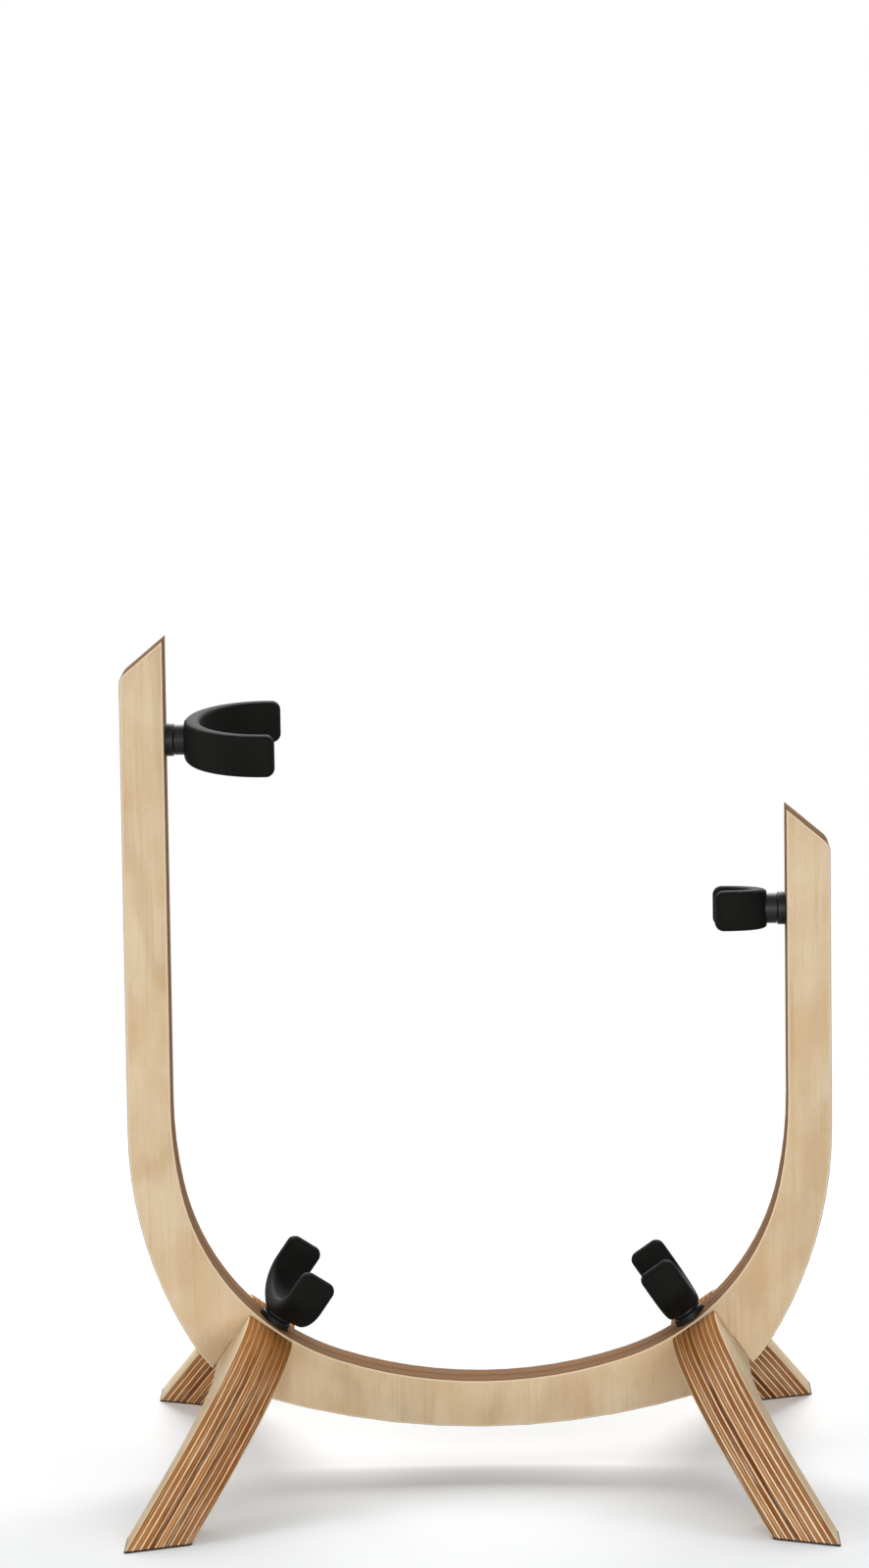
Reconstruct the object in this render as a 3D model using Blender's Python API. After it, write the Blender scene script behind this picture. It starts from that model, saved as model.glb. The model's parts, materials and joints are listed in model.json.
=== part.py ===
# Floor stand for a euphonium: a plywood yoke cross-lapped onto two arched plywood legs,
# with four swivelling padded cradles that hold the horn upright.
# Metres, +Z up, X across the stand, -Y to the front. The origin is on the floor under its middle.

import math
from collections import namedtuple

import bmesh
import bpy
from mathutils import Matrix, Vector

# Boards
YOKE_THICKNESS = 0.0265
LEG_THICKNESS = 0.0265
EDGE_ROUND = 0.0012
FIT_GAP = 0.0003

# Yoke outline: tangent arcs (radius, degrees turned) from the middle of the bottom to a vertical arm
YOKE_INNER_LOW = 0.0458
YOKE_OUTER_LOW = 0.0221
YOKE_INNER_ARCS = ((0.2310, 18.0), (0.1174, 60.0), (0.2098, 12.0))
YOKE_OUTER_ARCS = ((0.3810, 17.0), (0.0600, 40.5), (0.2048, 32.5))
LEFT_ARM_TOP = 0.4230
RIGHT_ARM_TOP = 0.3352
ARM_TIP_SLANT = math.radians(40.0)
ARM_TIP_ROUND = 0.0075
ARC_STEP = math.radians(3.5)

# Legs: boards that lean to the middle, arched between the front and the rear foot
LEG_SPREAD = 0.1564
LEG_LEAN = math.radians(34.36)
LEG_TOP_BELOW_YOKE = 0.0013
LEG_UNDER_ABOVE_YOKE = 0.0032
LEG_TOP_FLAT = 0.0165
LEG_TOP_REACH = 0.1677
LEG_TOP_SLOPE = math.radians(50.0)
LEG_UNDER_FLAT = 0.0385
FOOT_LENGTH = 0.0302
LEG_UNDER_SLOPE = math.radians(52.0)

# Anti-slip pads under the feet
PAD_THICKNESS = 0.0006

# Cradle hardware, measured along each cradle's axis from its seat on the yoke's inner edge
SEAT_RADIUS = 0.0088
SEAT_DEPTH = 0.0010
LOWER_SEAT_SINK = 0.0010
INSERT_RADIUS = 0.0040
INSERT_LENGTH = 0.0095
INSERT_BORE = 0.0027
SCREW_RADIUS = 0.0024
SCREW_HEAD_RADIUS = 0.0042
SCREW_HEAD_HEIGHT = 0.0034
SCREW_ENTRY = 0.0085
SCREW_SOCKET = 0.0035
SCREW_SOCKET_DEPTH = 0.0018
COLLAR_RADIUS = 0.0082
COLLAR_LENGTH = 0.0044
COLLAR_CHAMFER = 0.0005
NECK_RADIUS = 0.0076
TURNED_STEPS = 36

# Saddles: a strap bent to half an ellipse with straight tips, inside a soft cover
COVER_WALL = 0.0080
COVER_ROUND = 0.0026
STRAP_THICKNESS = 0.0030
STRAP_MARGIN = 0.0026
STRAP_TIP_MARGIN = 0.0036
COVER_TIP_RADIUS = 0.0045
TIP_STEPS = 3
CURVE_STEPS = 22

Saddle = namedtuple("Saddle", "inner_width curve_depth tip_straight height neck_shown")
WIDE_SADDLE = Saddle(inner_width=0.0780, curve_depth=0.0360, tip_straight=0.0066, height=0.0212,
                     neck_shown=0.0048)
NARROW_SADDLE = Saddle(inner_width=0.0290, curve_depth=0.0170, tip_straight=0.0055, height=0.0203,
                       neck_shown=0.0048)
BOTTOM_SADDLE = Saddle(inner_width=0.0540, curve_depth=0.0140, tip_straight=0.0145, height=0.0190,
                       neck_shown=0.0015)

# Upper cradles' distance below their arm's tip, and how far each cradle is turned about its neck
UPPER_LEFT_DROP = 0.0513
UPPER_RIGHT_DROP = 0.0520
UPPER_LEFT_TURN = math.radians(4.1)
UPPER_RIGHT_TURN = math.radians(5.0)
LOWER_LEFT_TURN = math.radians(9.8)
LOWER_RIGHT_TURN = math.radians(4.2)


def clear_scene():
    for item in list(bpy.data.objects):
        bpy.data.objects.remove(item, do_unlink=True)


def make_material(name, colour, roughness, metallic=0.0):
    material = bpy.data.materials.new(name)
    material.use_nodes = True
    shader = material.node_tree.nodes["Principled BSDF"]
    shader.inputs["Base Color"].default_value = (*colour, 1.0)
    shader.inputs["Roughness"].default_value = roughness
    shader.inputs["Metallic"].default_value = metallic
    material.diffuse_color = (*colour, 1.0)
    return material


def add_object(name, mesh, material=None, parent=None):
    item = bpy.data.objects.new(name, mesh)
    bpy.context.scene.collection.objects.link(item)
    item.parent = parent
    if material:
        mesh.materials.append(material)
    return item


def add_empty(name, location, lean=0.0, parent=None):
    empty = bpy.data.objects.new(name, None)
    bpy.context.scene.collection.objects.link(empty)
    empty.location = location
    empty.rotation_euler = (0.0, lean, 0.0)
    empty.empty_display_size = 0.02
    empty.parent = parent
    return empty


def add_from_bmesh(name, shape, material=None, parent=None, smooth_angle=None):
    mesh = bpy.data.meshes.new(name)
    bmesh.ops.recalc_face_normals(shape, faces=shape.faces)
    shape.to_mesh(mesh)
    shape.free()
    if smooth_angle:
        mesh.shade_smooth()
        mesh.set_sharp_from_angle(angle=smooth_angle)
    return add_object(name, mesh, material, parent)


def add_cutter(name, shape, parent=None):
    cutter = add_from_bmesh(name, shape, parent=parent)
    cutter.hide_render = True
    cutter.display_type = "WIRE"
    return cutter


def boolean(item, other, operation="DIFFERENCE"):
    modifier = item.modifiers.new(other.name, "BOOLEAN")
    modifier.operation = operation
    modifier.solver = "EXACT"
    modifier.object = other


# Flat outlines are lists of (across, up) points

def arc_chain(low, arcs):
    """Points of tangent arcs that start level at x = 0 and height low, and turn upwards."""
    points = [(0.0, low)]
    across, up, heading = 0.0, low, 0.0
    for radius, degrees in arcs:
        turned = math.radians(degrees)
        steps = max(2, math.ceil(turned / ARC_STEP))
        for step in range(1, steps + 1):
            angle = heading + turned * step / steps
            points.append((across + radius * (math.sin(angle) - math.sin(heading)),
                           up + radius * (math.cos(heading) - math.cos(angle))))
        across, up = points[-1]
        heading += turned
    return points


def round_corner(before, corner, after, radius, steps=4):
    """Points that round a corner between two straight edges."""
    corner, before, after = Vector(corner), Vector(before), Vector(after)
    to_before, to_after = (before - corner).normalized(), (after - corner).normalized()
    half = to_before.angle(to_after) / 2
    setback = radius / math.tan(half)
    centre = corner + (to_before + to_after).normalized() * (radius / math.sin(half))
    first = corner + to_before * setback - centre
    last = corner + to_after * setback - centre
    sweep = first.angle_signed(last)
    return [tuple(centre + Matrix.Rotation(-sweep * step / steps, 2) @ first) for step in range(steps + 1)]


def yoke_half(arm_top):
    """Inner and outer outline of the right half, from the bottom up to the slanted arm tip."""
    inner = arc_chain(YOKE_INNER_LOW, YOKE_INNER_ARCS)
    outer = arc_chain(YOKE_OUTER_LOW, YOKE_OUTER_ARCS)
    inner_x, outer_x = inner[-1][0], outer[-1][0]
    corner = (outer_x, arm_top - (outer_x - inner_x) * math.tan(ARM_TIP_SLANT))
    tip = (inner_x, arm_top)
    return inner + [tip], outer + round_corner(outer[-1], corner, tip, ARM_TIP_ROUND)


def mirrored(points):
    return [(-across, up) for across, up in points]


def yoke_outline():
    right_inner, right_outer = yoke_half(RIGHT_ARM_TOP)
    left_inner, left_outer = yoke_half(LEFT_ARM_TOP)
    outer = mirrored(left_outer)[::-1] + right_outer[1:]
    inner = right_inner[::-1] + mirrored(left_inner)[1:]
    return outer + inner


def leg_height_at(points):
    """Distance up the leg's middle plane where it crosses one edge of the yoke."""
    along = Vector((-math.sin(LEG_LEAN), math.cos(LEG_LEAN)))
    foot = Vector((LEG_SPREAD, 0.0))
    for first, second in zip(points, points[1:]):
        start, edge = Vector(first), Vector(second) - Vector(first)
        crossing = along.x * edge.y - along.y * edge.x
        share = ((foot - start).x * along.y - (foot - start).y * along.x) / -crossing
        if 0.0 <= share <= 1.0:
            return (start + edge * share - foot).dot(along)
    raise ValueError("the leg misses the yoke")


def leg_edge(flat, height, slope, reach):
    """One long edge of the leg from its middle to the front foot: flat, arc, then straight."""
    run = (reach - flat) * math.tan(slope) - height
    radius = run / (math.sin(slope) * math.tan(slope) - 1.0 + math.cos(slope))
    steps = math.ceil(slope / ARC_STEP)
    points = [(flat + radius * math.sin(slope * step / steps),
               height - radius * (1.0 - math.cos(slope * step / steps))) for step in range(steps + 1)]
    below = -LEG_THICKNESS
    return points + [(reach - below / math.tan(slope), below)]


def leg_outline(top, under):
    upper = leg_edge(LEG_TOP_FLAT, top, LEG_TOP_SLOPE, LEG_TOP_REACH)
    lower = leg_edge(LEG_UNDER_FLAT, under, LEG_UNDER_SLOPE, LEG_TOP_REACH - FOOT_LENGTH)
    half = upper + lower[::-1]
    return half + mirrored(half)[::-1]


# Solids

def prism(outline, thickness, to_point, edge_round=0.0):
    """Outline extruded to a board centred on its plane; to_point(across, up, depth) places a point."""
    shape = bmesh.new()
    rims = []
    for depth in (-thickness / 2, thickness / 2):
        corners = [shape.verts.new(to_point(across, up, depth)) for across, up in outline]
        rims.append(shape.faces.new(corners))
    near, far = ([vert for vert in rim.verts] for rim in rims)
    for index in range(len(outline)):
        nxt = (index + 1) % len(outline)
        shape.faces.new((near[index], near[nxt], far[nxt], far[index]))
    bmesh.ops.recalc_face_normals(shape, faces=shape.faces)
    if edge_round:
        edges = [edge for rim in rims for edge in rim.edges]
        bmesh.ops.bevel(shape, geom=edges, offset=edge_round, segments=2, profile=0.5,
                        affect="EDGES", clamp_overlap=False)
    return shape


def box(low, high):
    shape = bmesh.new()
    bmesh.ops.create_cube(shape, size=1.0)
    low, high = Vector(low), Vector(high)
    bmesh.ops.scale(shape, vec=high - low, verts=shape.verts)
    bmesh.ops.translate(shape, vec=(low + high) / 2, verts=shape.verts)
    return shape


def turned(profile, steps=TURNED_STEPS):
    """Solid of revolution about Z from a closed (radius, height) profile."""
    shape = bmesh.new()
    verts = [shape.verts.new((radius, 0.0, height)) for radius, height in profile]
    pairs = zip(profile, verts, profile[1:] + profile[:1], verts[1:] + verts[:1])
    edges = [shape.edges.new((vert, after)) for point, vert, next_point, after in pairs
             if point[0] > 0.0 or next_point[0] > 0.0]
    bmesh.ops.spin(shape, geom=verts + edges, cent=(0, 0, 0), axis=(0, 0, 1), angle=math.tau,
                   steps=steps, use_merge=True)
    bmesh.ops.remove_doubles(shape, verts=shape.verts, dist=0.00001)
    return shape


def rod(radius, low, high, steps=TURNED_STEPS):
    shape = bmesh.new()
    place = Matrix.Translation((0, 0, (low + high) / 2))
    bmesh.ops.create_cone(shape, cap_ends=True, segments=steps, radius1=radius, radius2=radius,
                          depth=high - low, matrix=place)
    return shape


def saddle_path(saddle, base):
    """Centre line (y, z) of the saddle's wall with its outward normals, from front tip to rear tip."""
    half_width = (saddle.inner_width + COVER_WALL) / 2
    depth = saddle.curve_depth
    start = base + COVER_WALL / 2
    path = []
    for step in range(CURVE_STEPS + 1):
        angle = math.pi * (step / CURVE_STEPS - 0.5)
        normal = Vector((math.sin(angle) / half_width, -math.cos(angle) / depth)).normalized()
        path.append((half_width * math.sin(angle), start + depth * (1.0 - math.cos(angle)), *normal))
    return path


def strap(saddle, base, wall, height, tip_cut=0.0, tip_radius=0.0, edge_round=0.0):
    """Rectangular bar swept along the saddle's centre line, its tips rounded in its own surface."""
    curve = saddle_path(saddle, base)
    tip_z = curve[0][1] + saddle.tip_straight - tip_cut
    tips = []
    for step in range(TIP_STEPS + 1 if tip_radius else 1):
        angle = math.pi / 2 * step / TIP_STEPS
        lower = tip_radius * (1.0 - math.cos(angle))
        tips.append((tip_z - lower, 2 * tip_radius * (1.0 - math.sin(angle))))
    front, rear = curve[0], curve[-1]
    stations = [(front[0], z, *front[2:], narrower) for z, narrower in tips]
    stations += [(*place, 0.0) for place in curve]
    stations += [(rear[0], z, *rear[2:], narrower) for z, narrower in tips[::-1]]
    shape = bmesh.new()
    rings = []
    for y, z, normal_y, normal_z, narrower in stations:
        ring = []
        for side, edge in ((1, -1), (1, 1), (-1, 1), (-1, -1)):
            offset, reach = side * wall / 2, edge * (height - narrower) / 2
            ring.append(shape.verts.new((reach, y + normal_y * offset, z + normal_z * offset)))
        rings.append(ring)
    for first, second in zip(rings, rings[1:]):
        for index in range(4):
            nxt = (index + 1) % 4
            shape.faces.new((first[index], first[nxt], second[nxt], second[index]))
    shape.faces.new(rings[0])
    shape.faces.new(rings[-1])
    bmesh.ops.recalc_face_normals(shape, faces=shape.faces)
    if edge_round:
        sharp = [edge for edge in shape.edges if edge.calc_face_angle(0.0) > math.radians(50)]
        bmesh.ops.bevel(shape, geom=sharp, offset=edge_round, segments=2, profile=0.5,
                        affect="EDGES", clamp_overlap=False)
    return shape


# Pieces

def make_yoke(material):
    board = prism(yoke_outline(), YOKE_THICKNESS, lambda across, up, depth: (across, depth, up), EDGE_ROUND)
    return add_from_bmesh("yoke", board, material, smooth_angle=math.radians(30))


def leg_board(split, top, under):
    """Whole leg board in its own frame: X across its thickness, Z up the board from the lap's middle."""
    return prism(leg_outline(top, under), LEG_THICKNESS,
                 lambda across, up, depth: (depth, across, up - split), EDGE_ROUND)


def slice_away(shape, frame, world_point, world_away):
    """Cut the shape with a plane given in world space and close it, dropping the side it points to."""
    to_local = frame.matrix_world.inverted()
    cut = bmesh.ops.bisect_plane(shape, geom=shape.verts[:] + shape.edges[:] + shape.faces[:],
                                 plane_co=to_local @ Vector(world_point),
                                 plane_no=to_local.to_3x3() @ Vector(world_away), clear_outer=True)
    rim = [item for item in cut["geom_cut"] if isinstance(item, bmesh.types.BMEdge)]
    bmesh.ops.holes_fill(shape, edges=rim)


def make_leg(side, frame, board, material):
    """Leg sawn level at the feet."""
    slice_away(board, frame, (0, 0, PAD_THICKNESS + FIT_GAP), (0, 0, -1))
    return add_from_bmesh(side + "_leg", board, material, frame, smooth_angle=math.radians(30))


def make_foot_pad(side, place, direction, frame, board, material):
    """Thin pad that carries the leg's outline on to the floor."""
    slice_away(board, frame, (0, 0, 0), (0, 0, -1))
    slice_away(board, frame, (0, 0, PAD_THICKNESS), (0, 0, 1))
    slice_away(board, frame, (0, 0, 0), (0, -direction, 0))
    return add_from_bmesh(side + "_" + place + "_foot_pad", board, material, frame,
                          smooth_angle=math.radians(30))


def cut_laps(yoke, leg, side, frame, top):
    """Half-lap: the yoke's slot opens downwards and the leg's slot opens upwards."""
    leg_half = LEG_THICKNESS / 2 + FIT_GAP
    yoke_half_depth = YOKE_THICKNESS / 2 + FIT_GAP
    far = 2 * LEG_THICKNESS
    yoke_slot = add_cutter(side + "_yoke_slot_cutter",
                           box((-leg_half, -far, -far), (leg_half, far, FIT_GAP / 2)), frame)
    leg_opening = box((-far, -yoke_half_depth, -FIT_GAP / 2), (far, yoke_half_depth, top + far))
    leg_slot = add_cutter(side + "_leg_slot_cutter", leg_opening, frame)
    boolean(yoke, yoke_slot)
    boolean(leg, leg_slot)


def cut_seat(yoke, name, frame):
    """Flat seat for the collar and blind hole for the threaded insert in the yoke's inner edge."""
    hole_radius, hole_low = INSERT_RADIUS + FIT_GAP, -SEAT_DEPTH - INSERT_LENGTH - FIT_GAP
    profile = [(0.0, hole_low), (hole_radius, hole_low), (hole_radius, -SEAT_DEPTH),
               (SEAT_RADIUS, -SEAT_DEPTH), (SEAT_RADIUS, COLLAR_LENGTH), (0.0, COLLAR_LENGTH)]
    boolean(yoke, add_cutter(name + "_seat_cutter", turned(profile), frame))


def make_insert(name, frame, material):
    low, high = -SEAT_DEPTH - INSERT_LENGTH, -SEAT_DEPTH
    profile = [(INSERT_BORE, low), (INSERT_RADIUS, low), (INSERT_RADIUS, high), (INSERT_BORE, high)]
    return add_from_bmesh(name + "_insert", turned(profile), material, frame, smooth_angle=math.radians(30))


def make_collar(name, frame, material):
    low, high = FIT_GAP - SEAT_DEPTH, COLLAR_LENGTH
    bore = SCREW_RADIUS + FIT_GAP
    profile = [(bore, low), (COLLAR_RADIUS - COLLAR_CHAMFER, low), (COLLAR_RADIUS, low + COLLAR_CHAMFER),
               (COLLAR_RADIUS, high - COLLAR_CHAMFER), (COLLAR_RADIUS - COLLAR_CHAMFER, high), (bore, high)]
    return add_from_bmesh(name + "_collar", turned(profile), material, frame, smooth_angle=math.radians(30))


def saddle_base(saddle):
    return COLLAR_LENGTH + FIT_GAP + saddle.neck_shown


def strap_top(saddle):
    """Height of the strap's face inside the saddle, where the screw's head is let in."""
    return saddle_base(saddle) + (COVER_WALL + STRAP_THICKNESS) / 2


def make_screw(name, saddle, frame, material):
    head_top = strap_top(saddle) - FIT_GAP
    head_low = head_top - SCREW_HEAD_HEIGHT
    profile = [(0.0, -SEAT_DEPTH - SCREW_ENTRY), (SCREW_RADIUS, -SEAT_DEPTH - SCREW_ENTRY),
               (SCREW_RADIUS, head_low), (SCREW_HEAD_RADIUS, head_low), (SCREW_HEAD_RADIUS, head_top),
               (0.0, head_top)]
    screw = add_from_bmesh(name + "_screw", turned(profile), material, frame, smooth_angle=math.radians(30))
    socket = rod(SCREW_SOCKET / math.sqrt(3), head_top - SCREW_SOCKET_DEPTH,
                 head_top + SCREW_SOCKET_DEPTH, 6)
    boolean(screw, add_cutter(name + "_socket_cutter", socket, frame))
    return screw


def strap_height(saddle):
    return saddle.height - 2 * STRAP_MARGIN


def make_core(name, saddle, swivel, material):
    """Strap with the round neck on its back, bored for the screw and its head."""
    base = saddle_base(saddle)
    strip = strap(saddle, base, STRAP_THICKNESS, strap_height(saddle), STRAP_TIP_MARGIN)
    core = add_from_bmesh(name + "_core", strip, material, swivel, smooth_angle=math.radians(30))
    neck_low, neck_high = COLLAR_LENGTH + FIT_GAP, base + COVER_WALL / 2
    head_seat = strap_top(saddle) - FIT_GAP - SCREW_HEAD_HEIGHT - FIT_GAP
    beyond = strap_top(saddle) + COVER_WALL
    boolean(core, add_cutter(name + "_neck_form", rod(NECK_RADIUS, neck_low, neck_high), swivel), "UNION")
    bore, head_bore = SCREW_RADIUS + FIT_GAP, SCREW_HEAD_RADIUS + FIT_GAP
    profile = [(0.0, neck_low - COLLAR_LENGTH), (bore, neck_low - COLLAR_LENGTH), (bore, head_seat),
               (head_bore, head_seat), (head_bore, beyond), (0.0, beyond)]
    boolean(core, add_cutter(name + "_bore_cutter", turned(profile), swivel))
    return core


def make_cover(name, saddle, swivel, material):
    """Soft sleeve over the strap: rounded outside, with a pocket that opens round the neck."""
    base = saddle_base(saddle)
    sleeve = strap(saddle, base, COVER_WALL, saddle.height, tip_radius=COVER_TIP_RADIUS,
                   edge_round=COVER_ROUND)
    cover = add_from_bmesh(name + "_cover", sleeve, material, swivel, smooth_angle=math.radians(40))
    pocket = strap(saddle, base, STRAP_THICKNESS + 2 * FIT_GAP, strap_height(saddle) + 2 * FIT_GAP,
                   STRAP_TIP_MARGIN - FIT_GAP)
    opening = rod(NECK_RADIUS + FIT_GAP, COLLAR_LENGTH, base + COVER_WALL / 2)
    boolean(cover, add_cutter(name + "_pocket_cutter", pocket, swivel))
    boolean(cover, add_cutter(name + "_opening_cutter", opening, swivel))
    return cover


def make_cradle(name, yoke, location, lean, turn, saddle, materials):
    seat = add_empty(name + "_seat", location, lean)
    swivel = add_empty(name + "_swivel", (0.0, 0.0, 0.0), parent=seat)
    swivel.rotation_euler = (0.0, 0.0, turn)
    cut_seat(yoke, name, seat)
    make_insert(name, seat, materials["steel"])
    make_collar(name, seat, materials["collar"])
    make_screw(name, saddle, seat, materials["steel"])
    make_core(name, saddle, swivel, materials["core"])
    make_cover(name, saddle, swivel, materials["cover"])


def make_materials():
    return {
        "yoke": make_material("birch_plywood", (0.70, 0.53, 0.35), 0.55),
        "leg": make_material("birch_plywood_edge", (0.58, 0.38, 0.22), 0.55),
        "pad": make_material("anti_slip_rubber", (0.02, 0.02, 0.02), 0.85),
        "collar": make_material("collar_plastic", (0.02, 0.02, 0.02), 0.40),
        "core": make_material("core_plastic", (0.03, 0.03, 0.03), 0.40),
        "cover": make_material("cover_rubber", (0.012, 0.012, 0.011), 0.80),
        "steel": make_material("zinc_steel", (0.55, 0.55, 0.55), 0.35, 1.0),
    }


def build():
    clear_scene()
    materials = make_materials()
    inner, _ = yoke_half(RIGHT_ARM_TOP)
    outer = arc_chain(YOKE_OUTER_LOW, YOKE_OUTER_ARCS)
    crossing_inner, crossing_outer = leg_height_at(inner), leg_height_at(outer)
    split = (crossing_inner + crossing_outer) / 2
    top, under = crossing_inner - LEG_TOP_BELOW_YOKE, crossing_outer + LEG_UNDER_ABOVE_YOKE
    arm_x = inner[-1][0]

    yoke = make_yoke(materials["yoke"])
    for side, sign in (("left", -1), ("right", 1)):
        lean = -sign * LEG_LEAN
        lap_x, lap_z = LEG_SPREAD - split * math.sin(LEG_LEAN), split * math.cos(LEG_LEAN)
        lap = add_empty(side + "_lap", (sign * lap_x, 0.0, lap_z), lean)
        bpy.context.view_layer.update()
        leg = make_leg(side, lap, leg_board(split, top, under), materials["leg"])
        cut_laps(yoke, leg, side, lap, top)
        for place, direction in (("front", -1), ("rear", 1)):
            make_foot_pad(side, place, direction, lap, leg_board(split, top, under), materials["pad"])

    low_seat = crossing_inner - LOWER_SEAT_SINK
    low_x, low_z = LEG_SPREAD - low_seat * math.sin(LEG_LEAN), low_seat * math.cos(LEG_LEAN)
    quarter = math.pi / 2
    left_z, right_z = LEFT_ARM_TOP - UPPER_LEFT_DROP, RIGHT_ARM_TOP - UPPER_RIGHT_DROP
    make_cradle("upper_left", yoke, (-arm_x, 0.0, left_z), quarter, UPPER_LEFT_TURN, WIDE_SADDLE, materials)
    make_cradle("upper_right", yoke, (arm_x, 0.0, right_z), -quarter, UPPER_RIGHT_TURN, NARROW_SADDLE,
                materials)
    make_cradle("lower_left", yoke, (-low_x, 0.0, low_z), LEG_LEAN, LOWER_LEFT_TURN, BOTTOM_SADDLE,
                materials)
    make_cradle("lower_right", yoke, (low_x, 0.0, low_z), -LEG_LEAN, LOWER_RIGHT_TURN, BOTTOM_SADDLE,
                materials)


build()
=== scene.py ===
# Looks for the plywood instrument stand: camera, light, floor, birch plywood, soft saddle covers, hardware.
# Metres, +Z up, X across the stand, -Y to the front, origin on the floor under its middle.

import json
import math
from collections import namedtuple

import bpy
from mathutils import Matrix, Vector

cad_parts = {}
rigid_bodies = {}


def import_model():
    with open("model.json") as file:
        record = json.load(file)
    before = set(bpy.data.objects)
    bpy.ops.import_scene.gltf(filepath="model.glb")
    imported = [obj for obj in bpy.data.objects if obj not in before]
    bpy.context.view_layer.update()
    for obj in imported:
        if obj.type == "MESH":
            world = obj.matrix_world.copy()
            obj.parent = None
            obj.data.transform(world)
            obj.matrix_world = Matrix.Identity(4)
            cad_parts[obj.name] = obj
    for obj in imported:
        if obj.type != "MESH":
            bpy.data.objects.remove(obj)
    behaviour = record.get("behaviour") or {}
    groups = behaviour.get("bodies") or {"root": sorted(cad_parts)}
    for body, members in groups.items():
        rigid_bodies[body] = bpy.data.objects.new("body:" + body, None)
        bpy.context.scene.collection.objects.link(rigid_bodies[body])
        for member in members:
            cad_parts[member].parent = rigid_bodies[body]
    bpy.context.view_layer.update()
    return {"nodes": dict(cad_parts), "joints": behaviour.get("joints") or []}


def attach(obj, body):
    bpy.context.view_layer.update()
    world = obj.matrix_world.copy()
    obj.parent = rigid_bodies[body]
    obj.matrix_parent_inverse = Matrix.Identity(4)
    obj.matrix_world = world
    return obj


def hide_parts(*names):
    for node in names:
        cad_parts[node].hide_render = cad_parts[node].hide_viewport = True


# Camera
CAMERA_PLACE = (0.0277, -3.245, 0.794)
CAMERA_YAW = -0.01482
CAMERA_PITCH = 0.13663
CAMERA_ROLL = 0.01371
CAMERA_LENS = 150.56
CAMERA_SEES = (0.1, 200.0)
FILM_LONG_SIDE = 36.0

# Light and floor
WHITE = (1.0, 1.0, 1.0, 1.0)
AMBIENT = 0.20
AMBIENT_COLOUR = (0.86, 0.94, 1.0, 1)
FLOOR_SIZE = 60.0
FLOOR_SEEN = (0.86, 0.86, 0.86, 1)
FLOOR_BOUNCE = (0.50, 0.50, 0.50, 1)
FLOOR_LIFT = 0.13
LIT_GROUND = 1.1
LIT_GROUND_FADES = 0.3

Softbox = namedtuple("Softbox", "place width height power")
SOFTBOXES = {
    "overhead": Softbox((0.0, 1.8, 1.6), 1.9, 1.5, 62.0),
    "front": Softbox((0.4, -2.2, 0.5), 1.8, 1.0, 32.2),
    "left": Softbox((-2.0, -0.8, 0.8), 0.9, 0.9, 15.0),
    "right": Softbox((2.0, -0.6, 0.8), 0.9, 0.9, 3.0),
}
LAMPS_AIM = (0.0, 0.0, 0.15)

# Plywood: its face veneer and its even plies
FACE_VENEER = 0.00084
PLY = 0.00146

# Depths below a face between which the board's colour passes from the face to its rounded rim, a pale veneer
# edge lightened as a painted highlight, from the rim to the first glue line, a dark joint that also stands
# for painted shade at the rim's edge, and from that line to the plies
FACE_TO_RIM = (0.00001, 0.00010)
RIM_TO_GLUE = (0.00055, 0.00070)
GLUE_TO_PLIES = (0.00078, 0.00090)

# In shares of one ply: half of a pale ply's bright core, how much that varies, its soft border, and the glue
CORE_HALF = 0.09
CORE_VARIES = 0.11
CORE_BORDER = 0.09
GLUE_LINE = (0.38, 0.46)
PLY_WANDERS = 0.30

# Between which shares a brown ply turns golden, or the darkest kind, and how strong each shade is
GOLDEN_PLIES = (0.35, 0.75)
DARKEST_PLIES = (0.60, 0.98)
DARKEST_SHADE = 0.75
DARK_LINES_SHADE = 0.42
GLUE_SHADE = 0.60
FIBRE_SHADE = 0.36

# A leg's cut edge is richer in colour near the yoke, and fades to its own colour between these distances
RICH_BROWN = (0.37, 0.125, 0.010, 1.0)
RICH_REACH = (0.030, 0.110)

# Marks in the face veneer: their scales across and along the grain, and where a mark starts and is full
FaceMark = namedtuple("FaceMark", "across along shift detail roughness start full strength")
CLOUDS = FaceMark(40, 24, 0.9, 4.0, 0.6, 0.30, 0.72, 1.0)
BANDS = FaceMark(110, 6, 0.5, 3.0, 0.5, 0.46, 0.78, 0.20)
STROKES = FaceMark(480, 16, 2.3, 3.0, 0.6, 0.52, 0.74, 0.26)
STREAKS = FaceMark(1100, 20, 0.0, 4.0, 0.6, 0.45, 0.75, 0.20)
FLAME = FaceMark(22, 6, 4.1, 2.0, 0.4, 0.006, 0.045, 0.26)
PORES = FaceMark(2600, 330, 1.7, 2.0, 0.5, 0.60, 0.72, 0.20)

# Marks in the cut edge: their scales along the plies and through them, and where a mark starts and is full
EdgeMark = namedtuple("EdgeMark", "along through roughness start full")
FIBRE = EdgeMark(620, 2600, 0.65, 0.48, 0.72)
DARK_LINES = EdgeMark(60, 3400, 0.6, 0.46, 0.68)
PALE_LINES = EdgeMark(34, 2300, 0.6, 0.50, 0.66)

# Clear finish on the plywood: a cut edge's roughness, how much smoother a face is, how rough its streaks are
EDGE_ROUGHNESS = 0.82
FACE_SMOOTHER = 0.30
STREAKS_ROUGHER = 0.10
GRAIN_HEIGHT = 0.00006
PLYWOOD_SPECULAR = 0.04

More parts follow.
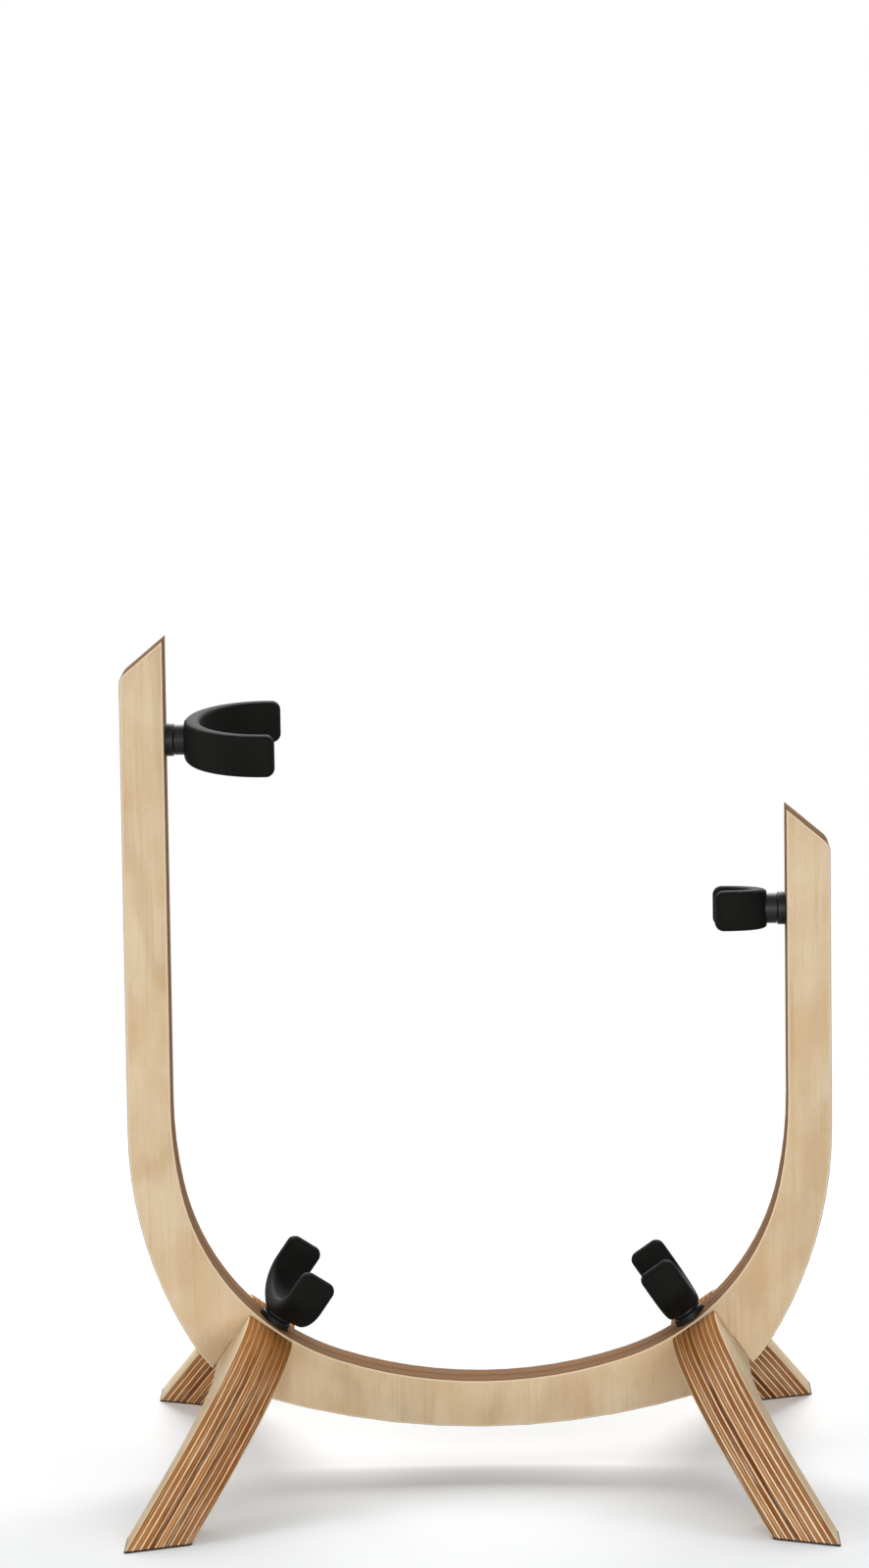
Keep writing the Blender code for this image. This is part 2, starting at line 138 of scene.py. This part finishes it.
# Moulded pieces: colour and worn colour as they are seen, roughness, the grain's scale and height, specular
Moulding = namedtuple("Moulding", "name colour worn roughness grain_scale grain_height specular")
MOULDINGS = {
    "foot_pad": Moulding("anti_slip_rubber", (30, 29, 28), (44, 42, 40), 0.85, 1800.0, 0.00006, 0.5),
    "collar": Moulding("collar_plastic", (14, 14, 14), (22, 22, 22), 0.45, 2600.0, 0.00001, 0.25),
    "core": Moulding("core_plastic", (18, 19, 20), (27, 28, 29), 0.45, 2600.0, 0.00001, 0.25),
    "cover": Moulding("soft_cover_rubber", (11, 11, 9), (16, 16, 14), 0.66, 1500.0, 0.00003, 0.08),
}

# Solids carried over from the frame are shaded smooth up to this angle between facets
SHARP_ANGLE = math.radians(32)
SAME_POINT = 0.000005

# Saddle covers
COVER_WALL = 0.0080
COVER_ROUND = 0.0030
COVER_TIP_ROUND = 0.0045
COVER_CROWN = 0.0003
CROWN_FADES = 0.006
COVER_STATIONS = 150
COVER_ROUND_STEPS = 96
COVER_SEAM = 0.000002
NECK_RADIUS = 0.0076
COLLAR_TO_NECK = 0.0047

# The low lip that the cover's skin raises round the neck
LIP_HEIGHT = 0.00035
LIP_OFF_NECK = 0.0010
LIP_SPREAD = 0.0012

Saddle = namedtuple("Saddle", "inner_width curve_depth tip_straight height neck_shown")
WIDE = Saddle(0.0780, 0.0360, 0.0066, 0.0212, 0.0048)
NARROW = Saddle(0.0290, 0.0170, 0.0055, 0.0203, 0.0048)
BOTTOM = Saddle(0.0540, 0.0140, 0.0145, 0.0190, 0.0015)
CRADLES = {
    "upper_left": (WIDE, 4.1),
    "upper_right": (NARROW, 5.0),
    "lower_left": (BOTTOM, 9.8),
    "lower_right": (BOTTOM, 4.2),
}


class Wire:
    """A socket that carries numbers, so that node maths reads as plain arithmetic."""

    def __init__(self, graph, socket):
        self.graph, self.socket = graph, socket

    def __add__(self, other):
        return self.graph.maths("ADD", self, other)

    def __sub__(self, other):
        return self.graph.maths("SUBTRACT", self, other)

    def __rsub__(self, other):
        return self.graph.maths("SUBTRACT", other, self)

    def __mul__(self, other):
        return self.graph.maths("MULTIPLY", self, other)

    def __truediv__(self, other):
        return self.graph.maths("DIVIDE", self, other)

    def __rtruediv__(self, other):
        return self.graph.maths("DIVIDE", other, self)

    def __pow__(self, other):
        return self.graph.maths("POWER", self, other)

    def __rpow__(self, other):
        return self.graph.maths("POWER", other, self)

    __radd__ = __add__
    __rmul__ = __mul__


class Graph:
    """A node tree under construction. Every node comes from make()."""

    def __init__(self, tree):
        self.tree = tree
        tree.nodes.clear()

    def make(self, kind, settings=(), sockets=()):
        """Node of a kind, with its settings first and then its sockets' values or links."""
        node = self.tree.nodes.new(kind)
        for name, value in dict(settings).items():
            setattr(node, name, value)
        for key, value in dict(sockets).items():
            if isinstance(value, Wire):
                self.tree.links.new(value.socket, node.inputs[key])
            else:
                node.inputs[key].default_value = value
        return node

    def wire(self, kind, settings=(), sockets=(), output=0):
        """One output of a new node."""
        return Wire(self, self.make(kind, settings, sockets).outputs[output])

    def maths(self, operation, *values):
        return self.wire("ShaderNodeMath", {"operation": operation}, enumerate(values))

    def clamp(self, value, low=0.0, high=1.0):
        return self.wire("ShaderNodeClamp", (), {"Value": value, "Min": low, "Max": high})

    def step(self, value, low, high):
        """Smooth step from 0 at low to 1 at high."""
        sockets = {"Value": value, "From Min": low, "From Max": high}
        return self.wire("ShaderNodeMapRange", {"interpolation_type": "SMOOTHSTEP"}, sockets)

    def vector(self, *parts):
        return self.wire("ShaderNodeCombineXYZ", (), enumerate(parts))

    def split(self, vector):
        node = self.make("ShaderNodeSeparateXYZ", (), {"Vector": vector})
        return [Wire(self, output) for output in node.outputs]

    def blend(self, factor, first, second):
        """Colour from first to second by a factor."""
        return self.wire("ShaderNodeMix", {"data_type": "RGBA"}, {0: factor, 6: first, 7: second}, output=2)

    def noise(self, vector, scale, detail, roughness):
        sockets = {"Vector": vector, "Scale": scale, "Detail": detail, "Roughness": roughness}
        return self.wire("ShaderNodeTexNoise", (), sockets)


def srgb(red, green, blue):
    """Linear colour with alpha from the eight-bit values of a colour as it is seen."""
    shares = [part / 255 for part in (red, green, blue)]
    return (*(share / 12.92 if share <= 0.04045 else ((share + 0.055) / 1.055) ** 2.4
              for share in shares), 1.0)


# Materials

class Finish(Graph):
    """A material's graph, ended by one Principled shader."""

    def __init__(self, name):
        self.material = bpy.data.materials.new(name)
        self.material.use_nodes = True
        super().__init__(self.material.node_tree)
        self.place = self.wire("ShaderNodeTexCoord", output=3)

    def close(self, colour, roughness, height, lift, **plain):
        """Shader from a colour, a roughness and a height for its bump; plain sockets keep one value."""
        sockets = {"Base Color": colour, "Roughness": roughness}
        sockets.update((name.replace("_", " "), value) for name, value in plain.items())
        sockets["Normal"] = self.wire("ShaderNodeBump", (), {"Distance": lift, "Height": height})
        shader = self.wire("ShaderNodeBsdfPrincipled", (), sockets)
        self.make("ShaderNodeOutputMaterial", (), {"Surface": shader})
        return self.material


# A board's colours, the rim's one a painted highlight and the first glue line's one a dark joint that also
# carries painted shade, then how alike its pale plies are, how rich its cut edge is near the yoke, and how
# strong the fine pale lines in it are
Timber = namedtuple(
    "Timber", "pale warm dark highlight outline core golden brown deep evenness richness gleam")


class Board(Finish):
    """The graph of one plywood board, measured through its plies and along its face veneer's grain."""

    def __init__(self, board, normal, grain, timber, seed):
        super().__init__("birch_plywood_" + board)
        self.timber, self.seed = timber, seed
        normal, grain = Vector(normal), Vector(grain)
        heights = [vertex.co.dot(normal) for vertex in frame["nodes"][board].data.vertices]
        self.half = (max(heights) - min(heights)) / 2
        self.through = self.measure(normal) - (max(heights) + min(heights)) / 2
        self.along = self.measure(grain)
        self.aside = self.measure(normal.cross(grain))
        self.depth = self.half - self.maths("ABSOLUTE", self.through)

    def measure(self, axis):
        """How far a point lies along an axis."""
        sockets = {0: self.place, 1: axis}
        return self.wire("ShaderNodeVectorMath", {"operation": "DOT_PRODUCT"}, sockets, output=1)

    def chance(self, number):
        """A fixed random share for each number."""
        return self.wire("ShaderNodeTexWhiteNoise", {"noise_dimensions": "1D"}, {"W": number})

    def face_noise(self, mark):
        spot = self.vector(self.aside * mark.across, self.along * mark.along, self.seed + mark.shift)
        return self.noise(spot, 1.0, mark.detail, mark.roughness)

    def edge_noise(self, scale, third, detail=2.0, roughness=0.5):
        return self.noise(self.vector(self.along * scale, self.aside * scale, third), 1.0, detail, roughness)

    def edge_share(self, mark, shift=0.0):
        """Where a mark of the cut edge shows."""
        pattern = self.edge_noise(mark.along, self.through * mark.through + shift, 3.0, mark.roughness)
        return self.step(pattern, mark.start, mark.full)

    def faces(self):
        """The face veneer's colour, with the noise of its streaks and the mask of its pores."""
        def share(mark, pattern):
            return self.step(pattern, mark.start, mark.full)

        streaks = self.face_noise(STREAKS)
        pore_mask = share(PORES, self.face_noise(PORES))
        flame = 1 - share(FLAME, self.maths("ABSOLUTE", self.face_noise(FLAME) - 0.5))
        colour = self.blend(share(CLOUDS, self.face_noise(CLOUDS)), self.timber.pale, self.timber.warm)
        for mark, shown in (
                (BANDS, share(BANDS, self.face_noise(BANDS))),
                (STROKES, share(STROKES, self.face_noise(STROKES))),
                (STREAKS, share(STREAKS, streaks)),
                (FLAME, flame),
                (PORES, pore_mask)):
            colour = self.blend(shown * mark.strength, colour, self.timber.dark)
        return colour, streaks, pore_mask

    def plies(self):
        """The number of the ply that a point lies in, and how far off that ply's middle it is."""
        wander = (self.edge_noise(26, self.seed) - 0.5) * PLY_WANDERS
        layer = (self.through + (self.half - FACE_VENEER)) / PLY + (wander + 1.0)
        number = self.maths("FLOOR", layer)
        return number, self.maths("ABSOLUTE", layer - number - 0.5)

    def cut_edge(self):
        """The cut edge's colour, with its fibres and its glue lines: pale and brown plies by turns."""
        timber = self.timber
        number, off_middle = self.plies()
        pale_ply = 1 - self.maths("PINGPONG", number, 1.0)
        first_chance = self.chance(number + self.seed)
        second_chance = self.chance(number * 1.7 + (self.seed + 40))
        drift = self.edge_noise(22, number * 3.1)
        core_half = CORE_HALF + second_chance * CORE_VARIES
        core = pale_ply * (1 - self.step(off_middle, core_half, core_half + CORE_BORDER))
        core = core * (timber.evenness + first_chance * (1 - timber.evenness))
        glue = self.step(off_middle, *GLUE_LINE)
        fibre = self.edge_noise(FIBRE.along, self.through * FIBRE.through, 3.0, FIBRE.roughness)
        near_yoke = 1 - self.step(self.maths("ABSOLUTE", self.along), *RICH_REACH)
        golden = self.step(first_chance * 0.6 + drift * 0.5, *GOLDEN_PLIES)
        colour = self.blend(golden, timber.brown, timber.golden)
        for share, tone in (
                ((1 - pale_ply) * self.step(second_chance, *DARKEST_PLIES) * DARKEST_SHADE, timber.deep),
                (self.edge_share(DARK_LINES) * DARK_LINES_SHADE, timber.deep),
                (self.edge_share(PALE_LINES, self.seed) * timber.gleam, timber.core),
                (glue * GLUE_SHADE, timber.deep),
                (core * (0.86 + drift * 0.28), timber.core),
                (self.step(fibre, FIBRE.start, FIBRE.full) * FIBRE_SHADE, timber.brown),
                (near_yoke * timber.richness, RICH_BROWN)):
            colour = self.blend(share, colour, tone)
        return colour, fibre, glue


def plywood(board, normal, grain, timber, seed):
    """Birch plywood whose plies lie across a normal; the face veneer's grain runs along another axis."""
    wood = Board(board, normal, grain, timber, seed)
    veneer, streaks, pore_mask = wood.faces()
    plies, fibre, glue = wood.cut_edge()
    # The rounded rim takes a painted highlight, and the first glue line beyond it also stands for painted
    # shade at the rim's edge
    rim = wood.blend(wood.step(wood.depth, *RIM_TO_GLUE), timber.highlight, timber.outline)
    edge = wood.blend(wood.step(wood.depth, *GLUE_TO_PLIES), rim, plies)
    on_face = 1 - wood.step(wood.depth, *FACE_TO_RIM)
    colour = wood.blend(on_face, edge, veneer)
    roughness = EDGE_ROUGHNESS - on_face * FACE_SMOOTHER + streaks * STREAKS_ROUGHER
    height = (1 - on_face) * (fibre * 0.6 - glue * 0.4) + on_face * (streaks * 0.35 - pore_mask * 0.5)
    return wood.close(colour, roughness, height, GRAIN_HEIGHT, Specular_IOR_Level=PLYWOOD_SPECULAR)


def moulded(moulding):
    """Moulded rubber or plastic: a fine even grain, faint cloudiness and a slightly greyer wear."""
    skin = Finish(moulding.name)
    worn = srgb(*moulding.worn)
    grain = skin.noise(skin.place, moulding.grain_scale, 3.0, 0.6)
    clouds = skin.noise(skin.place, 70.0, 3.0, 0.55)
    dust = skin.step(skin.noise(skin.place, 420.0, 4.0, 0.7), 0.58, 0.78)
    tone = skin.blend(skin.step(clouds, 0.30, 0.75), srgb(*moulding.colour), worn)
    tone = skin.blend(dust * 0.18, tone, worn)
    roughness = moulding.roughness + (clouds - 0.5) * 0.14 + dust * 0.05
    return skin.close(tone, roughness, grain, moulding.grain_height, Specular_IOR_Level=moulding.specular)


def zinc_steel():
    """Zinc-plated steel with a mottled crystal bloom and fine drawn lines."""
    metal = Finish("zinc_steel")
    bloom = metal.wire("ShaderNodeTexVoronoi", {"feature": "F1"}, {"Vector": metal.place, "Scale": 1400.0})
    lines = metal.noise(metal.place, 2600.0, 2.0, 0.5)
    tone = metal.blend(metal.step(bloom, 0.1, 0.8), srgb(196, 198, 200), srgb(170, 170, 166))
    return metal.close(tone, 0.30 + bloom * 0.18, lines, 0.00002, Metallic=1.0)


def joint_of(child):
    """The frame's joint that carries a body."""
    return next(joint for joint in frame["joints"] if joint["child"] == child)


def make_timbers():
    """The three boards' timbers: one face veneer, and each board's own cut edge."""
    # The fourth face colour is the rim's painted highlight; each board's first glue line colour also carries
    # painted shade
    face = (srgb(225, 203, 171), srgb(215, 186, 147), srgb(188, 153, 111), srgb(230, 207, 173))
    yoke = Timber(*face, outline=srgb(108, 82, 60), core=srgb(172, 132, 100), golden=srgb(156, 118, 87),
                  brown=srgb(138, 103, 73), deep=srgb(102, 75, 50), evenness=0.2, richness=0.0, gleam=0.10)
    left = Timber(*face, outline=srgb(128, 84, 44), core=srgb(255, 228, 188), golden=srgb(200, 137, 78),
                  brown=srgb(154, 91, 43), deep=srgb(78, 32, 8), evenness=0.6, richness=0.66, gleam=0.46)
    right = Timber(*face, outline=srgb(128, 84, 44), core=srgb(255, 236, 202), golden=srgb(202, 143, 87),
                   brown=srgb(154, 93, 48), deep=srgb(78, 35, 10), evenness=0.9, richness=0.60, gleam=0.38)
    return yoke, left, right


def make_finishes():
    """Every finish of the stand, by the name or the kind of the pieces that take it."""
    yoke, left, right = make_timbers()
    finishes = {"yoke": plywood("yoke", (0, 1, 0), (0, 0, 1), yoke, 3.0)}
    for leg, timber, seed in (("left_leg", left, 6.0), ("right_leg", right, 16.0)):
        down_the_leg, along = Vector(joint_of(leg)["axis"]), Vector((0, 1, 0))
        finishes[leg] = plywood(leg, down_the_leg.cross(along), along, timber, seed)
    finishes.update((kind, moulded(moulding)) for kind, moulding in MOULDINGS.items())
    finishes["steel"] = zinc_steel()
    return finishes


def smoothing_tree():
    """Node tree that shades a solid's facets as smooth faces, parted where they meet at a sharp angle."""
    tree = bpy.data.node_groups.new("smooth_faces", "GeometryNodeTree")
    for direction in ("INPUT", "OUTPUT"):
        tree.interface.new_socket("Mesh", in_out=direction, socket_type="NodeSocketGeometry")
    facets = Graph(tree)
    solid = facets.wire("NodeGroupInput")
    joined = facets.wire("GeometryNodeMergeByDistance", (), {"Geometry": solid, "Distance": SAME_POINT})
    sharp = facets.maths("GREATER_THAN", facets.wire("GeometryNodeInputMeshEdgeAngle"), SHARP_ANGLE)
    parted = facets.wire("GeometryNodeSplitEdges", (), {"Mesh": joined, "Selection": sharp})
    smooth = facets.wire("GeometryNodeSetShadeSmooth", (), {"Geometry": parted, "Shade Smooth": True})
    facets.make("NodeGroupOutput", (), {"Mesh": smooth})
    return tree


def dress(nodes, finishes):
    """Give each carried-over solid the finish of its kind, and smooth shading."""
    smoothing = smoothing_tree()
    for name, item in nodes.items():
        kind = next((kind for kind in finishes if name.endswith(kind)), "steel")
        item.data.materials.clear()
        item.data.materials.append(finishes[kind])
        item.modifiers.new("smooth", "NODES").node_group = smoothing


# Saddle covers, swept by one rule along the saddle's curve

COVER_INPUTS = ("Inner width", "Curve depth", "Tip straight", "Height", "Base")
Path = namedtuple("Path", "y z out_y out_z to_tip")


def saddle_path(sweep, across, inner_width, curve_depth, tip, base):
    """Middle line of a sleeve from tip to tip: half an ellipse with straight tips, and which way is out."""
    half_width = (inner_width + COVER_WALL) / 2
    curve_length = (half_width + curve_depth) * (math.pi / 2)
    length = curve_length + tip * 2
    travel = length * (1 - sweep.maths("COSINE", (across + 0.5) * math.pi)) / 2
    to_tip = sweep.maths("MINIMUM", travel, length - travel)
    turn = sweep.clamp((travel - tip) / curve_length) * math.pi - math.pi / 2
    sine, cosine = sweep.maths("SINE", turn), sweep.maths("COSINE", turn)
    rise = sweep.maths("MAXIMUM", tip - to_tip, 0.0)
    out_y, out_z = sine / half_width, 0 - cosine / curve_depth
    size = (out_y ** 2.0 + out_z ** 2.0) ** 0.5
    z = base + COVER_WALL / 2 + curve_depth * (1 - cosine) + rise
    return Path(half_width * sine, z, out_y / size, out_z / size, to_tip)


def sleeve_skin(sweep, around, height, path):
    """Where the skin lies round the middle line: how far beside it, and how far out from it."""
    def drawn_in(radius):
        """How far a rounded tip draws in at this distance from its end."""
        left = sweep.maths("MAXIMUM", 1 - path.to_tip / radius, 0.0)
        return radius * (1 - sweep.maths("SQRT", 1 - left * left))

    half_wall = COVER_WALL / 2 - drawn_in(COVER_WALL / 2)
    half_height = height / 2 - drawn_in(COVER_TIP_ROUND)
    corner = sweep.maths("MINIMUM", half_wall, COVER_ROUND)

    def side(reach, direction):
        """One side of a box with round corners, as a direction turns round it."""
        return corner * direction + (reach - corner) * sweep.clamp(direction * 2, -1.0, 1.0)

    spin = (around + 0.5) * math.tau
    outward = sweep.maths("SINE", spin)
    beside, out = side(half_height, sweep.maths("COSINE", spin)), side(half_wall, outward)
    crown = COVER_CROWN * outward * (1 - (beside / half_height) ** 2.0)
    crown = crown * sweep.step(path.to_tip, 0.0, CROWN_FADES)
    from_neck = (beside * beside + path.y * path.y) ** 0.5
    off_lip = (from_neck - NECK_RADIUS - LIP_OFF_NECK) / LIP_SPREAD
    lip = LIP_HEIGHT * 0.5 ** (off_lip ** 2.0) * sweep.step(outward, 0.2, 0.6)
    return beside, out + crown + lip


def cover_tree(material):
    """Node tree that sweeps a crowned sleeve along the saddle's curve from tip to tip."""
    tree = bpy.data.node_groups.new("saddle_cover", "GeometryNodeTree")
    for name in COVER_INPUTS:
        tree.interface.new_socket(name, in_out="INPUT", socket_type="NodeSocketFloat")
    tree.interface.new_socket("Cover", in_out="OUTPUT", socket_type="NodeSocketGeometry")
    sweep = Graph(tree)
    inputs = sweep.make("NodeGroupInput")
    sizes = [Wire(sweep, inputs.outputs[name]) for name in COVER_INPUTS]
    inner_width, curve_depth, tip, height, base = sizes
    grid = sweep.wire("GeometryNodeMeshGrid", (), {
        "Size X": 1.0, "Size Y": 1.0, "Vertices X": COVER_STATIONS, "Vertices Y": COVER_ROUND_STEPS + 1})
    across, around = sweep.split(sweep.wire("GeometryNodeInputPosition"))[:2]
    path = saddle_path(sweep, across, inner_width, curve_depth, tip, base)
    beside, out = sleeve_skin(sweep, around, height, path)
    place = sweep.vector(beside, path.y + path.out_y * out, path.z + path.out_z * out)
    swept = sweep.wire("GeometryNodeSetPosition", (), {"Geometry": grid, "Position": place})
    closed = sweep.wire("GeometryNodeMergeByDistance", (), {"Geometry": swept, "Distance": COVER_SEAM})
    smooth = sweep.wire("GeometryNodeSetShadeSmooth", (), {"Geometry": closed, "Shade Smooth": True})
    real = sweep.wire("GeometryNodeRealizeInstances", (), {"Geometry": smooth})
    skinned = sweep.wire("GeometryNodeSetMaterial", (), {"Geometry": real, "Material": material})
    sweep.make("NodeGroupOutput", (), {"Cover": skinned})
    return tree


def make_cover(name, tree, saddle, seat, lean, turn):
    """One soft cover in its place, as a plain mesh at the origin."""
    item = bpy.data.objects.new(name, bpy.data.meshes.new(name))
    bpy.context.scene.collection.objects.link(item)
    modifier = item.modifiers.new("sweep", "NODES")
    modifier.node_group = tree
    base = COLLAR_TO_NECK + saddle.neck_shown
    sizes = (saddle.inner_width, saddle.curve_depth, saddle.tip_straight, saddle.height, base)
    sockets = [socket for socket in tree.interface.items_tree if socket.in_out == "INPUT"]
    for socket, value in zip(sockets, sizes):
        modifier[socket.identifier] = value
    evaluated = item.evaluated_get(bpy.context.evaluated_depsgraph_get())
    mesh = bpy.data.meshes.new_from_object(evaluated)
    item.modifiers.clear()
    item.data = mesh
    mesh.name = name
    mesh.transform(Matrix.Translation(seat) @ Matrix.Rotation(lean, 4, "Y") @ Matrix.Rotation(turn, 4, "Z"))
    mesh.update()
    return item


def make_covers(finish):
    """The four soft covers, each round the saddle of its cradle."""
    tree = cover_tree(finish)
    for place, (saddle, turn) in CRADLES.items():
        cradle = place + "_cradle"
        swivel = joint_of(cradle)
        lean = math.atan2(swivel["axis"][0], swivel["axis"][2])
        cover = make_cover(place + "_soft_cover", tree, saddle, swivel["pos_m"], lean, math.radians(turn))
        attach(cover, cradle)
        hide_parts(place + "_cover")


# Surroundings

def make_camera():
    """Camera at the photograph's viewing angle."""
    camera = bpy.data.objects.new("camera", bpy.data.cameras.new("camera"))
    bpy.context.scene.collection.objects.link(camera)
    camera.data.sensor_fit = "AUTO"
    camera.data.sensor_width = FILM_LONG_SIDE
    camera.data.lens = CAMERA_LENS
    camera.data.clip_start, camera.data.clip_end = CAMERA_SEES
    level = Matrix.Rotation(-CAMERA_YAW, 4, "Z") @ Matrix.Rotation(math.pi / 2 - CAMERA_PITCH, 4, "X")
    camera.matrix_world = Matrix.Translation(CAMERA_PLACE) @ level @ Matrix.Rotation(-CAMERA_ROLL, 4, "Z")
    bpy.context.scene.camera = camera


def seen_directly(graph):
    """1 for rays from the camera, from a gloss or through glass, and 0 for the light they give."""
    rays = graph.make("ShaderNodeLightPath")
    straight = [Wire(graph, rays.outputs[name])
                for name in ("Is Camera Ray", "Is Glossy Ray", "Is Transmission Ray")]
    return graph.maths("MINIMUM", straight[0] + straight[1] + straight[2], 1.0)


def make_world():
    """A white studio to look at, which lights the stand only faintly."""
    world = bpy.data.worlds.new("studio")
    bpy.context.scene.world = world
    world.use_nodes = True
    sky = Graph(world.node_tree)
    seen = seen_directly(sky)
    ambient = sky.wire("ShaderNodeBackground", (), {"Color": AMBIENT_COLOUR, "Strength": AMBIENT})
    white = sky.wire("ShaderNodeBackground", (), {"Color": WHITE, "Strength": 1.0})
    back = sky.wire("ShaderNodeMixShader", (), {0: seen, 1: ambient, 2: white})
    sky.make("ShaderNodeOutputWorld", (), {"Surface": back})


def floor_finish():
    """Pale paint that keeps the stand's shadow near it and is a plain white ground further off."""
    material = bpy.data.materials.new("white_floor")
    material.use_nodes = True
    graph = Graph(material.node_tree)
    seen = seen_directly(graph)
    bounce = graph.wire("ShaderNodeBsdfDiffuse", (), {"Color": FLOOR_BOUNCE})
    paint = graph.wire("ShaderNodeBsdfDiffuse", (), {"Color": FLOOR_SEEN})
    lift = graph.wire("ShaderNodeEmission", (), {"Color": WHITE, "Strength": FLOOR_LIFT})
    white = graph.wire("ShaderNodeEmission", (), {"Color": WHITE, "Strength": 1.0})
    shown = graph.wire("ShaderNodeAddShader", (), {0: paint, 1: lift})
    near = graph.wire("ShaderNodeMixShader", (), {0: seen, 1: bounce, 2: shown})
    place = graph.wire("ShaderNodeTexCoord", output=3)
    away = graph.wire("ShaderNodeVectorMath", {"operation": "LENGTH"}, {0: place}, output=1)
    far = graph.step(away, LIT_GROUND * LIT_GROUND_FADES, LIT_GROUND)
    mixed = graph.wire("ShaderNodeMixShader", (), {0: seen * far, 1: near, 2: white})
    graph.make("ShaderNodeOutputMaterial", (), {"Surface": mixed})
    return material


def make_floor():
    bpy.ops.mesh.primitive_plane_add(size=FLOOR_SIZE)
    floor = bpy.context.object
    floor.name = "floor"
    floor.data.materials.append(floor_finish())


def make_lights():
    """Large soft lamps, all aimed at the lower part of the stand."""
    for name, box in SOFTBOXES.items():
        lamp = bpy.data.objects.new(name, bpy.data.lights.new(name, "AREA"))
        bpy.context.scene.collection.objects.link(lamp)
        lamp.data.shape = "RECTANGLE"
        lamp.data.size, lamp.data.size_y, lamp.data.energy = box.width, box.height, box.power
        lamp.location = box.place
        lamp.rotation_euler = (Vector(LAMPS_AIM) - Vector(box.place)).to_track_quat("-Z", "Y").to_euler()


for item in list(bpy.data.objects):
    bpy.data.objects.remove(item, do_unlink=True)
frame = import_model()
bpy.context.scene.view_settings.view_transform = "Standard"
make_camera()
make_world()
make_floor()
make_lights()
finishes = make_finishes()
dress(frame["nodes"], finishes)
make_covers(finishes["cover"])
